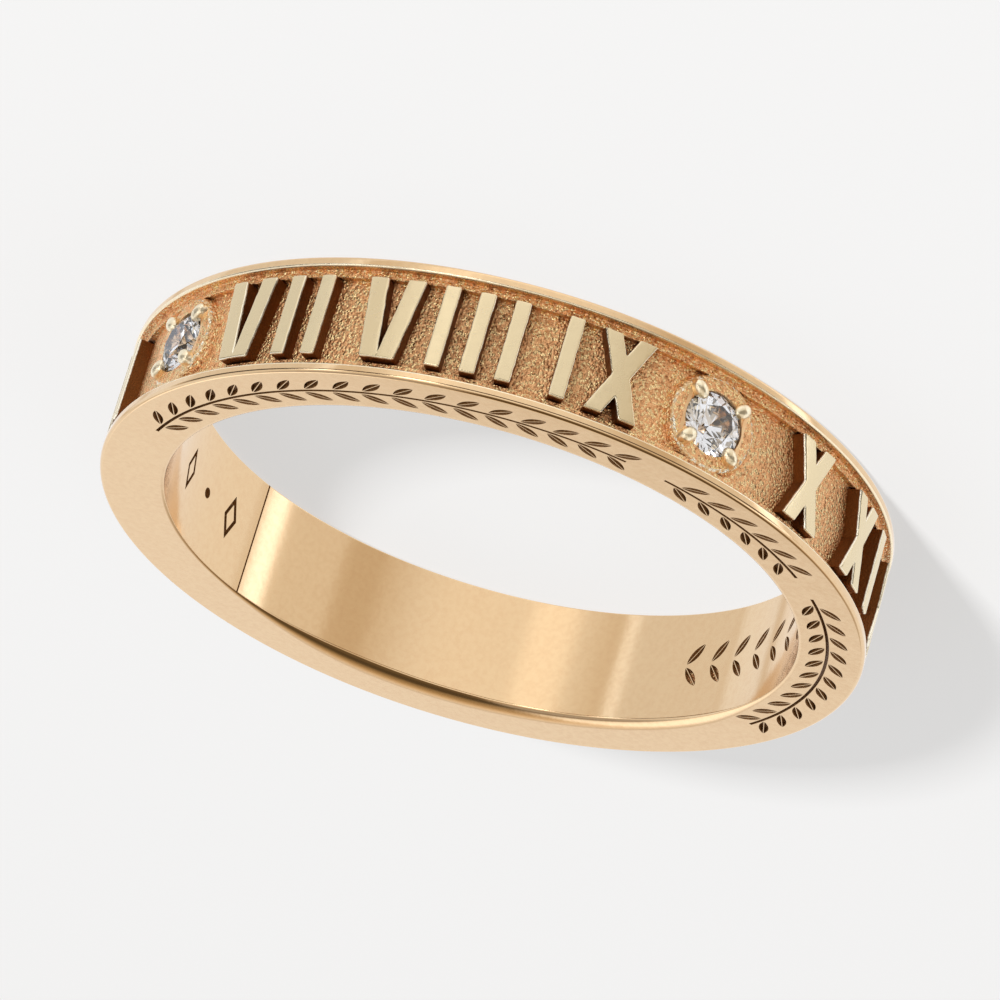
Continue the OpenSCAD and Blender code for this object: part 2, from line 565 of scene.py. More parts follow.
@dataclass(frozen=True)
class BlastedGold(Finish):
    """Sandblasted gold: orange grains with painted glints, and painted shade in the grains'
    hollows and in its corners.
    """

    colour: Colour = (1.0, 0.56, 0.27, 1)
    # Colour of the grain relief's hollows: painted shade
    hollow_shade: Colour = (0.42, 0.155, 0.05, 1)
    # Colour of random grains painted bright: painted glints
    painted_glint: Colour = (1.0, 0.74, 0.38, 1)
    # Colour where ambient occlusion finds a corner: painted shade
    corner_shade: Colour = (0.25, 0.09, 0.027, 1)
    grain_size: float = 0.07
    grain_depth: float = 0.05
    # The noise's patches beside the grains, and how domed a grain is
    noise_ratio: float = 1.6
    dome: float = 0.8
    hollow_range: Pair = (0.3, 0.5)
    glint_range: Pair = (0.5, 0.7)
    # Roughness of a dull grain and of a grain with a painted glint
    roughness: Pair = (0.45, 0.24)
    # How far the painted corner shade looks for a wall, how open its edge is and how uneven
    corner_reach: float = 0.3
    corner_shade_range: Pair = (0.12, 0.62)
    corner_shade_spread: float = 0.7

    def sockets(self, graph: Graph) -> dict[str, Any]:
        """Grains with painted glints, and painted shade in their hollows and corners, over a
        rough relief.

        Args:
            graph: the material's nodes.

        Returns:
            What goes into the shader.
        """
        place = graph.place()
        noise_size = self.grain_size * self.noise_ratio
        grain = graph.grain(place, noise_size, detail=3, rough=0.7)
        # Random grains take a brighter colour, which is a painted glint, and also less
        # roughness, which is real
        glint_share = graph.cells(place, self.grain_size, "Color").step(*self.glint_range)
        domes = graph.cells(place, self.grain_size, "Distance")
        # Where the relief sinks, the colour darkens: painted shade in the grain's hollows
        rough = graph.blend(grain.step(*self.hollow_range), self.hollow_shade, self.colour)
        lit = graph.blend(glint_share, rough, self.painted_glint)
        # Ambient occlusion darkens the colour towards corners, made uneven by the grain: painted
        # shade
        uneven = (grain - 0.5) * self.corner_shade_spread
        share = (graph.corners(self.corner_reach) + uneven).step(*self.corner_shade_range)
        return {
            "Base Color": graph.blend(share, self.corner_shade, lit),
            "Metallic": 1,
            "Roughness": glint_share.between(*self.roughness),
            "Normal": graph.relief(grain - domes * self.dome, self.grain_depth),
        }


@dataclass(frozen=True)
class NumeralGold(Finish):
    """Satin tops with painted highlights along their edges, and rough side walls painted dark as
    shade.
    """

    top_radius: float
    # Depths between which the walls' painted shade gives way to the painted edge highlight, and
    # that to the flat top
    wall_range: Pair = (0.07, 0.035)
    flat_range: Pair = (0.0175, 0.0035)
    colour: Colour = (0.82, 0.67, 0.42, 1)
    # Colour of the band along the tops' edges: painted highlight
    bright: Colour = (1.0, 0.93, 0.76, 1)
    # Colour of the side walls: painted shade
    wall_shade: Colour = (0.2, 0.075, 0.022, 1)
    roughness: Pair = (0.2, 0.32)
    wall_roughness: float = 0.25
    # Sizes of the fine grain and of the mottle, and depths of their relief
    grain_size: float = 0.06
    top_grain: float = 0.0012
    wall_grain: float = 0.02
    mottle_size: float = 0.3
    mottle_depth: float = 0.002
    # How unevenly the walls' painted shade reaches over the edge
    spread: float = 0.05

    def _radii(self, depths: Pair) -> Pair:
        """Radii at two depths under the tops."""
        return self.top_radius - depths[0], self.top_radius - depths[1]

    def sockets(self, graph: Graph) -> dict[str, Any]:
        """Pale tops with painted edge highlights, over walls painted dark as shade.

        Args:
            graph: the material's nodes.

        Returns:
            What goes into the shader.
        """
        place = graph.place()
        grain = graph.grain(place, self.grain_size, detail=3, rough=0.6)
        mottle = graph.grain(place, self.mottle_size, detail=3)
        radius = graph.radius(place)
        uneven = radius + (grain - 0.5) * self.spread
        top = uneven.step(*self._radii(self.wall_range))
        flat = radius.step(*self._radii(self.flat_range))
        wall = 1 - top
        relief = grain * (wall * self.wall_grain + self.top_grain) + mottle * self.mottle_depth
        # A band along the tops' edges is painted brighter: painted highlight
        light = graph.blend(flat, self.bright, self.colour)
        return {
            # The walls take a dark colour, which is painted shade; their roughness and grain are
            # real
            "Base Color": graph.blend(top, self.wall_shade, light),
            "Metallic": 1,
            "Roughness": mottle.between(*self.roughness) + wall * self.wall_roughness,
            "Normal": graph.relief(relief, 1),
        }


@dataclass(frozen=True)
class EngravedGold(Finish):
    """Dark brown tarnish at the bottom of the engraving."""

    colour: Colour = (0.25, 0.115, 0.032, 1)
    light: Colour = (0.5, 0.28, 0.11, 1)
    metallic: float = 0.25
    roughness: Pair = (0.35, 0.55)
    grain_size: float = 0.07
    grain_depth: float = 0.008
    light_range: Pair = (0.5, 0.75)

    def sockets(self, graph: Graph) -> dict[str, Any]:
        """Dark grain with lighter specks.

        Args:
            graph: the material's nodes.

        Returns:
            What goes into the shader.
        """
        grain = graph.grain(graph.place(), self.grain_size, detail=3, rough=0.6)
        return {
            "Base Color": graph.blend(grain.step(*self.light_range), self.colour, self.light),
            "Metallic": self.metallic,
            "Roughness": grain.between(*self.roughness),
            "Normal": graph.relief(grain, self.grain_depth),
        }


@dataclass(frozen=True)
class CutGem(Finish):
    """Clear cut stone with a breath of blue."""

    colour: Colour = (0.92, 0.93, 1.0, 1)
    clear: Colour = (1.0, 1.0, 1.0, 1)
    ior: float = 2.0
    haze_size: float = 0.5
    roughness: Pair = (0.02, 0.06)

    def sockets(self, graph: Graph) -> dict[str, Any]:
        """Clear stone, very slightly uneven.

        Args:
            graph: the material's nodes.

        Returns:
            What goes into the shader.
        """
        haze = graph.grain(graph.place(), self.haze_size)
        return {
            "Base Color": graph.blend(haze, self.colour, self.clear),
            "Roughness": haze.between(*self.roughness),
            "IOR": self.ior,
            "Transmission Weight": 1,
        }


@dataclass(frozen=True)
class PaleFloor(Finish):
    """Matte white that glows softly, like a light table."""

    colour: Colour = (0.2, 0.2, 0.2, 1)
    light: Colour = (1.0, 1.0, 1.0, 1)
    glow: float = 0.578

    def sockets(self, graph: Graph) -> dict[str, Any]:
        """Even colour with a glow.

        Args:
            graph: the material's nodes, which get no more of them.

        Returns:
            What goes into the shader.
        """
        return {
            "Base Color": self.colour,
            "Roughness": 1,
            "Specular IOR Level": 0,
            "Emission Color": self.light,
            "Emission Strength": self.glow,
        }


# Other finishes of the same gold, lighter copies that stand in for light: painted highlights on
# the rims' inner edges, the claws' beads painted paler, painted highlights on the pads' edges,
# and the seats painted lighter
# Whiter gold for the rims' inner edges: painted highlight
HIGHLIGHT_GOLD = PolishedGold(
    colour=(1, 0.86, 0.62, 1),
    worn=(1, 0.75, 0.45, 1),
    roughness=(0.22, 0.34),
    wave_size=0.3,
    wave_depth=0.01,
    mottle_size=0.1,
)
# Paler gold for the claws' beads, painted lighter so that they read as lit: painted light
LIT_BEAD_GOLD = PolishedGold(
    colour=(1, 0.88, 0.64, 1),
    worn=(0.95, 0.75, 0.47, 1),
    roughness=(0.24, 0.42),
    wave_size=0.16,
    wave_depth=0.03,
    mottle_size=0.06,
    mottle_depth=0.003,
)
# Paler sandblasted gold for the pads' rounded edges: painted highlight, with lighter painted
# shade in its corners
PAD_HIGHLIGHT_GOLD = BlastedGold(
    colour=(1, 0.72, 0.4, 1),
    hollow_shade=(0.85, 0.5, 0.24, 1),
    painted_glint=(1, 0.93, 0.74, 1),
    corner_shade=(0.6, 0.3, 0.1, 1),
    grain_size=0.09,
    grain_depth=0.07,
)
# Lighter, rougher gold for the stones' seats, painted lighter so that the shaded gap round a
# stone isn't black: painted light
LIT_SEAT_GOLD = PolishedGold(
    colour=(1, 0.7, 0.4, 1),
    worn=(1, 0.58, 0.28, 1),
    roughness=(0.35, 0.55),
)


@dataclass(frozen=True)
class RingSizes:
    """Sizes that the sub-assemblies share, in millimetres."""

    outer_r: float
    finger_r: float
    width: float
    ledge_depth: float = 0.24
    panel_depth: float = 0.42

    @classmethod
    def from_frame(cls) -> "RingSizes":
        """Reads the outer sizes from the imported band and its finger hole.

        Returns:
            The sizes.
        """
        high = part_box(BAND)[1]
        mounts = frame["record"]["mounts"]
        bore = next(mount for mount in mounts if mount["name"] == "finger_hole")
        return cls(high.x / MM, bore["dims"]["r_mm"], high.z / MM)

    @property
    def ledge_r(self) -> float:
        """Radius of the ledges and the stone pads."""
        return self.outer_r - self.ledge_depth

    @property
    def panel_r(self) -> float:
        """Radius of the numeral panels' floor."""
        return self.outer_r - self.panel_depth

    @property
    def mid_z(self) -> float:
        """Height of the middle of the band."""
        return self.width / 2

    def bend(self, form: Piece, length: float, angle: float) -> None:
        """Bends a form that lies flat, its raised side at Y = 0, onto the outside of the ring.

        Args:
            form: the object.
            length: its length along X.
            angle: where its middle goes, in degrees.
        """
        turn = length / self.outer_r
        modify(form, "SIMPLE_DEFORM", deform_method="BEND", deform_axis="Z", angle=turn)
        turned = Matrix.Rotation(math.radians(angle + 90), 4, "Z")
        apply_place(form, turned @ Matrix.Translation((0, -self.outer_r, 0)))

    def on_wall(self, angle: float) -> Matrix:
        """Turns a form to stand on the wall: +Z outwards, +X along the numerals.

        Args:
            angle: place on the ring, in degrees.

        Returns:
            The matrix.
        """
        turned = Matrix.Rotation(math.radians(angle), 4, "Z")
        lifted = Matrix.Translation((0, 0, self.mid_z))
        upright = Matrix.Rotation(math.pi / 2, 4, "Y") @ Matrix.Rotation(-math.pi / 2, 4, "Z")
        return turned @ lifted @ upright


@dataclass
class HalfLeaf:
    """Cutter for one half of a pointed leaf, beside its mid-rib."""

    length: float
    width: float
    rib: float
    # Width and length of the bottom of the cut, as shares of the top's
    taper: float = 0.55
    shorten: float = 0.85
    steps: int = 112

    def make(self, depth: float) -> Piece:
        """Models the cutter along +X, its top open surface at height 0.

        Args:
            depth: how deep it cuts.

        Returns:
            The half on the +Y side.
        """
        bulge = (self.width - self.rib) / 2
        disc_r = (self.length**2 / 4 + bulge**2) / (2 * bulge)
        half = add_form(
            bpy.ops.mesh.primitive_circle_add, vertices=self.steps, radius=disc_r,
            fill_type="NGON", location=(self.length / 2, bulge - disc_r, OVER),
        )
        with editing(half):
            bpy.ops.mesh.bisect(plane_co=(0, 0, OVER), plane_no=(0, 1, 0), clear_inner=True)
            bpy.ops.mesh.select_all(action="SELECT")
            extrude((0, 0, -OVER))
            extrude((0, 0, -depth))
            centre = (self.length / 2, bulge / 3, -depth)
            bpy.ops.transform.resize(value=(self.shorten, self.taper, 1), center_override=centre)
            all_outward()
        apply_place(half, Matrix.Translation((0, self.rib / 2, 0)))
        return half


def leaf_cutter(half: Piece) -> Piece:
    """Both halves of a leaf, with the mid-rib standing between them.

    Args:
        half: the half on the +Y side.

    Returns:
        A new object.
    """
    near, far = copy_of(half), copy_of(half)
    far.scale = (1, -1, 1)
    apply_place(far)
    with editing(far):
        all_outward()
    return joined([near, far])


@dataclass
class LeafBranches:
    """Leaf branches engraved in the upper side face."""

    sizes: RingSizes
    depth: float = 0.12
    # How far the stems lie out from the finger hole, and the branches' whole width
    out: float = 0.79
    height: float = 0.98
    stem_w: float = 0.09
    leaf_l: float = 0.76
    leaf_w: float = 0.27
    rib_w: float = 0.02
    # Degrees from pair to pair, and how far one leaf of a pair lags, as a share of that
    pitch: float = 5.05
    pair_lag: float = 0.12
    # Where each branch starts and ends, in degrees
    spans: tuple[Pair, ...] = ((11, -80), (-87, -119.5), (-126.5, -183))

    @property
    def stem_r(self) -> float:
        """Radius of the stems' middle line."""
        return self.sizes.finger_r + self.out

    def stems(self) -> Piece:
        """Narrow grooves that follow the face.

        Returns:
            The stems' cutter.
        """
        made = []
        for first, last in self.spans:
            section_h = self.depth + OVER
            level = self.sizes.width - self.depth + section_h / 2
            stem = add_form(
                bpy.ops.mesh.primitive_plane_add, (self.stem_w, section_h, 1), size=1,
                location=(self.stem_r, 0, level), rotation=(math.pi / 2, 0, 0),
            )
            with editing(stem):
                angle = math.radians(first - last)
                bpy.ops.mesh.spin(
                    steps=round(first - last), angle=angle, center=(0, 0, 0), axis=(0, 0, 1)
                )
                all_outward()
            # The spin may go either way round, so the groove is turned from the end that it left
            low = min(math.atan2(corner.co.y, corner.co.x) for corner in stem.data.vertices)
            start = last if low > -FLAT_ANGLE else first
            apply_place(stem, Matrix.Rotation(math.radians(start), 4, "Z"))
            made.append(stem)
        return joined(made)

    def leaves(self) -> Piece:
        """Leaf pairs along every branch.

        Returns:
            The leaves' cutter.
        """
        half = HalfLeaf(self.leaf_l, self.leaf_w, self.rib_w).make(self.depth)
        lean = math.asin((self.height - self.leaf_w / 2) / 2 / self.leaf_l)
        made = []
        for first, last in self.spans:
            for pair in range(int((first - last) / self.pitch)):
                for side in (-1, 1):
                    angle = first - (pair + (1 + side * self.pair_lag) / 2) * self.pitch
                    leaf = leaf_cutter(half)
                    base = Vector((self.stem_r + side * self.stem_w, 0, self.sizes.width))
                    turned = Matrix.Rotation(math.radians(angle), 4, "Z")
                    leaned = Matrix.Rotation(side * lean - math.pi / 2, 4, "Z")
                    apply_place(leaf, turned @ Matrix.Translation(base) @ leaned)
                    made.append(leaf)
        bpy.data.objects.remove(half)
        return joined(made)


@dataclass
class WallMarks:
    """Lozenges, a dot, a row of leaf pairs and a fine seam in the wall of the finger hole."""

    sizes: RingSizes
    depth: float = 0.1
    # Height, width and line of a lozenge
    height: float = 1.3
    width: float = 0.6
    line: float = 0.11
    lozenges: tuple[float, ...] = (46.5, 64.5)
    dot: float = 55.5
    dot_r: float = 0.15
    dot_steps: int = 32
    sprigs: tuple[float, ...] = (162, 168, 174, 180, 186, 192, 198, 204)
    sprig_lean: float = 50
    stalk: float = 0.07
    leaf: HalfLeaf = field(
        default_factory=lambda: HalfLeaf(length=0.76, width=0.27, rib=0.02, taper=0.8)
    )
    seam: float = 72
    seam_w: float = 0.055
    seam_share: float = 1 / 3

    def _outline(self, corners: int, across: float, along: float) -> Piece:
        """A flat outline at the start of the cut.

        Args:
            corners: how many it has.
            across: half of its size round the ring.
            along: half of its size along the ring's axis.

        Returns:
            The outline.
        """
        return add_form(
            bpy.ops.mesh.primitive_circle_add, (across, along, 1), vertices=corners, radius=1,
            fill_type="NGON", location=(0, 0, self.sizes.finger_r - OVER),
        )

    def _sink(self, outline: Piece, angle: float) -> Piece:
        """Extrudes an outline to the full depth of the cut and sets it in the wall.

        Args:
            outline: the flat outline.
            angle: place on the ring, in degrees.

        Returns:
            The cutter.
        """
        with editing(outline):
            extrude((0, 0, OVER + self.depth))
            all_outward()
        apply_place(outline, self.sizes.on_wall(angle))
        return outline

    def _lozenge(self, angle: float) -> Piece:
        """A lozenge-shaped line around an island.

        Args:
            angle: place on the ring, in degrees.

        Returns:
            The cutter.
        """
        mark = self._outline(4, self.width / 2, self.height / 2)
        with editing(mark):
            bpy.ops.mesh.inset(thickness=self.line)
            bpy.ops.mesh.delete(type="FACE")
        return self._sink(mark, angle)

    def _sprigs(self) -> list[Piece]:
        """Pairs of leaves that lean along the numerals' direction.

        Returns:
            A cutter for each leaf.
        """
        half = self.leaf.make(self.depth)
        flip = Matrix.Rotation(math.pi, 4, "X")
        made = []
        for angle in self.sprigs:
            for side in (-1, 1):
                leaf = leaf_cutter(half)
                turned = Matrix.Rotation(math.radians(180 + side * self.sprig_lean), 4, "Z")
                base = Matrix.Translation((self.stalk, 0, self.sizes.finger_r))
                apply_place(leaf, self.sizes.on_wall(angle) @ turned @ base @ flip)
                made.append(leaf)
        bpy.data.objects.remove(half)
        return made

    def _seam(self) -> Piece:
        """A fine, shallow line straight across the wall.

        Returns:
            The cutter.
        """
        sizes = self.sizes
        depth = OVER + self.depth * self.seam_share
        line = add_form(
            bpy.ops.mesh.primitive_cube_add, (self.seam_w, sizes.width + OVER, depth), size=1,
            location=(0, 0, sizes.finger_r - OVER + depth / 2),
        )
        apply_place(line, sizes.on_wall(self.seam))
        return line

    def cutter(self) -> Piece:
        """All the marks as one cutter.

        Returns:
            The cutter.
        """
        lozenges = [self._lozenge(angle) for angle in self.lozenges]
        dot = self._sink(self._outline(self.dot_steps, self.dot_r, self.dot_r), self.dot)
        return joined(lozenges + [dot, self._seam()] + self._sprigs())


@dataclass
class StoneRoom:
    """The space that a round stone takes in its pad and between its claws."""

    sizes: RingSizes
    radius: float
    # Lower and upper height of the girdle, radius and height of the table, height of the culet
    girdle: Pair
    table: Pair
    culet: float
    gap: float = 0.02
    # Radius of the blunt tip under the culet, as a share of the seat's
    tip: float = 0.002
    steps: int = 96

    @classmethod
    def from_frame(cls, sizes: RingSizes) -> "StoneRoom":
        """Reads the stone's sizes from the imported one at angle 0.

        Args:
            sizes: of the ring.

        Returns:
            The room.
        """
        low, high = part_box("stone_1")
        radius = (high.y - low.y) / 2 / MM
        culet, top = low.x / MM, high.x / MM
        # Crown, girdle and pavilion share the stone's height in these parts
        crown, girdle, pavilion = 0.29, 0.045, 0.86
        table_share = 0.55
        part = (top - culet) / (crown + girdle + pavilion)
        girdle_low = culet + pavilion * part
        girdle_high = girdle_low + girdle * part
        return cls(sizes, radius, (girdle_low, girdle_high), (table_share * radius, top), culet)

    @property
    def seat_r(self) -> float:
        """Radius of the seat."""
        return self.radius + self.gap

    def make(self, crown: bool) -> Piece:
        """Models the space, standing on the wall at its own height over +Z.

        Args:
            crown: True follows the stone's crown, False goes straight up.

        Returns:
            The cutter.
        """
        low, high = self.girdle[0] - self.gap, self.girdle[1] + self.gap
        bottom, top = self.culet - 2 * self.gap, self.table[1] + self.gap
        room = add_form(
            bpy.ops.mesh.primitive_cylinder_add, vertices=self.steps, radius=self.seat_r,
            depth=high - low, location=(0, 0, (low + high) / 2),
        )
        with editing(room):
            select_where(room, Part.FACES, lambda middle, normal: normal.z < -ALONG)
            extrude((0, 0, bottom - low))
            self._narrow(self.tip, bottom)
            select_where(room, Part.FACES, lambda middle, normal: normal.z > ALONG)
            if crown:
                extrude((0, 0, top - high))
                self._narrow((self.table[0] + self.gap) / self.seat_r, top)
            extrude((0, 0, OVER))
            all_outward()
        return room

    @staticmethod
    def _narrow(share: float, height: float) -> None:
        """Shrinks the selected face towards the middle of the stone."""
        bpy.ops.transform.resize(value=(share, share, 1), center_override=(0, 0, height))


@dataclass
class BandShell:
    """The spun wall of the band: rims, channel, finger hole and engraving."""

    sizes: RingSizes
    room: StoneRoom
    branches: LeafBranches
    marks: WallMarks
    stone_angles: Sequence[float]
    rim_w: float = 0.28
    rim_round: float = 0.1
    ledge_w: float = 0.22
    # Full rounding of the finger hole's edges, across the face and down the wall
    finger_round: Pair = (0.65, 0.2)
    # How far polishing rounded the upper edge: angles in degrees and shares of the full rounding
    polish: tuple[Pair, ...] = (
        (0, 0.15), (68, 0.15), (78, 0.3), (90, 0.72), (100, 1), (120, 0.95),
        (130, 0.85), (150, 0.75), (170, 0.65), (182, 0.25), (195, 0.15), (360, 0.15),
    )
    lower_share: float = 0.5
    round_steps: int = 16
    # Rounding of the channel's corners and of the rims' inner edges
    soft: float = 0.03
    rim_soft: float = 0.06
    steps: int = 360

    def _section(self) -> Piece:
        """The cross-section as one flat outline, with its corners rounded.

        Returns:
            The outline, in the plane of X and Z.
        """
        sizes = self.sizes
        wall = sizes.outer_r - sizes.finger_r
        levels = (self.rim_w, self.rim_w + self.ledge_w)
        section = add_form(
            bpy.ops.mesh.primitive_plane_add, (wall, sizes.width, 1), size=1,
            location=(sizes.finger_r + wall / 2, 0, sizes.mid_z), rotation=(math.pi / 2, 0, 0),
        )

        def cut_away(middle: Vector, normal: Vector) -> bool:
            """Finds the two steps of the channel.

            Args:
                middle: of a face.
                normal: of the face, not used.

            Returns:
                True if the face is cut away.
            """
            in_ledges = levels[0] < middle.z < sizes.width - levels[0]
            in_panel = levels[1] < middle.z < sizes.width - levels[1]
            above_ledge, above_panel = middle.x > sizes.ledge_r, middle.x > sizes.panel_r
            return (in_ledges and above_ledge) or (in_panel and above_panel)

        with editing(section):
            for radius in (sizes.ledge_r, sizes.panel_r):
                slice_all((radius, 0, 0), (1, 0, 0))
            for level in levels:
                slice_all((0, 0, level), (0, 0, 1))
                slice_all((0, 0, sizes.width - level), (0, 0, 1))
            select_where(section, Part.FACES, cut_away)
            bpy.ops.mesh.delete(type="FACE")
            bpy.ops.mesh.select_all(action="SELECT")
            bpy.ops.mesh.dissolve_limited(angle_limit=FLAT_ANGLE)
            self._round_corners(section, sizes.outer_r, 0, self.rim_round, 6)
            self._round_corners(section, sizes.outer_r, levels[0], self.rim_soft, 4)
            for level in levels:
                self._round_corners(section, sizes.ledge_r, level, self.soft, 3)
            self._round_corners(section, sizes.panel_r, levels[1], self.soft, 3)
            bpy.ops.mesh.select_all(action="SELECT")
            bpy.ops.mesh.delete(type="ONLY_FACE")
        return section

    def _round_corners(
        self, section: Piece, radius: float, level: float, size: float, steps: int
    ) -> None:
        """Rounds the two corners of the section that lie alike.

        Args:
            section: the outline that is being edited.
            radius: of the corners, from the ring's axis.
            level: of the corners, from the nearer side.
            size: of the rounding.
            steps: how many edges the rounding has.
        """
        def here(corner: Vector, normal: Vector) -> bool:
            """True at the two corners."""
            side = min(corner.z, self.sizes.width - corner.z)
            return abs(corner.x - radius) < WELD and abs(side - level) < WELD

        select_where(section, Part.CORNERS, here)
        bpy.ops.mesh.bevel(offset=size, segments=steps, affect="VERTICES")

    def _share(self, place: Vector) -> float:
        """How far the upper edge of the finger hole is rounded near a place.

        Args:
            place: any point on that side of the ring.

        Returns:
            The share of the full rounding.
        """
        angle = math.degrees(math.atan2(place.y, place.x)) % 360
        for (low, first), (high, last) in zip(self.polish, self.polish[1:]):
            if angle <= high:
                return first + (last - first) * (angle - low) / (high - low)
        return self.polish[-1][1]

    def _round_hole(self, shell: Piece) -> None:
        """Rounds both edges of the finger hole, the upper one unevenly as by polishing.

        Args:
            shell: the spun wall, with sharp edges at the hole.
        """
        sizes = self.sizes
        weights = shell.data.attributes.new("bevel_weight_edge", "FLOAT", "EDGE")
        for edge, weight in zip(shell.data.edges, weights.data):
            first, last = (shell.data.vertices[number].co for number in edge.vertices)
            at_hole = max(first.xy.length, last.xy.length) < sizes.finger_r + WELD
            if at_hole and abs(first.z - last.z) < WELD:
                upper = first.z > sizes.mid_z
                weight.value = self._share(first + last) if upper else self.lower_share
        # The rounding is made while the shell is stretched, and so becomes elliptical
        across, along = self.finger_round
        apply_place(shell, Matrix.Diagonal((1, 1, across / along, 1)))
        modify(shell, "BEVEL", limit_method="WEIGHT", width=across, segments=self.round_steps)
        apply_place(shell, Matrix.Diagonal((1, 1, along / across, 1)))

    def build(self, finishes: Sequence[Material]) -> Piece:
        """Spins the section, cuts the seats and the engraving, and dresses the shell.

        Args:
            finishes: polished, blasted and engraved gold, and gold with a painted highlight, in
                this order.

        Returns:
            The shell.
        """
        shell = self._section()
        with editing(shell):
            bpy.ops.mesh.spin(
                steps=self.steps, angle=2 * math.pi, center=(0, 0, 0), axis=(0, 0, 1),
                use_auto_merge=True,
            )
            all_outward()
        self._round_hole(shell)
        for angle in self.stone_angles:
            seat = self.room.make(crown=False)
            apply_place(seat, self.sizes.on_wall(angle))
            boolean(shell, seat, "DIFFERENCE")
        for cutter in (self.branches.stems(), self.branches.leaves(), self.marks.cutter()):
            boolean(shell, cutter, "DIFFERENCE")
        return dress(shell, "band_shell", finishes, self._finish_of)

    def _in_seat(self, middle: Vector) -> bool:
        """True inside the seat of a stone."""
        places = (self.sizes.on_wall(angle).inverted() @ middle for angle in self.stone_angles)
        return any(at.z > 0 and at.xy.length < self.room.seat_r + WELD for at in places)

    def _finish_of(self, middle: Vector, normal: Vector) -> int:
        """Chooses a finish for one face of the shell.

        Args:
            middle: of the face.
            normal: of the face.

        Returns:
            The number of the finish.
        """
        sizes = self.sizes
        radius = math.hypot(middle.x, middle.y)
        below_side = sizes.width - middle.z
        side = min(middle.z, below_side)
        wall, outer = radius - sizes.finger_r, sizes.outer_r - radius
        rounded = self.finger_round[0] * self._share(middle)
        in_face = wall > rounded + CLOSE and outer > self.rim_round
        if in_face and CLOSE < below_side < self.branches.depth + CLOSE:
            return ShellFinish.ENGRAVED
        if side > self.finger_round[1] and CLOSE < wall < self.marks.depth + CLOSE:
            return ShellFinish.ENGRAVED
        if wall > self.marks.depth and self._in_seat(middle):
            return ShellFinish.POLISHED
        # The rims' inner edges take a brighter gold: painted highlight
        at_rim = abs(side - self.rim_w) < self.rim_soft and outer < self.rim_soft
        # The rims' inner edges lean, where their outsides are upright
        if at_rim and abs(normal.z) > 1 - ALONG:
            return ShellFinish.WORN
        in_channel = side > self.rim_w - CLOSE and outer > self.rim_soft / 2
        if in_channel and wall > self.marks.depth:
            return ShellFinish.BLASTED
        return ShellFinish.POLISHED


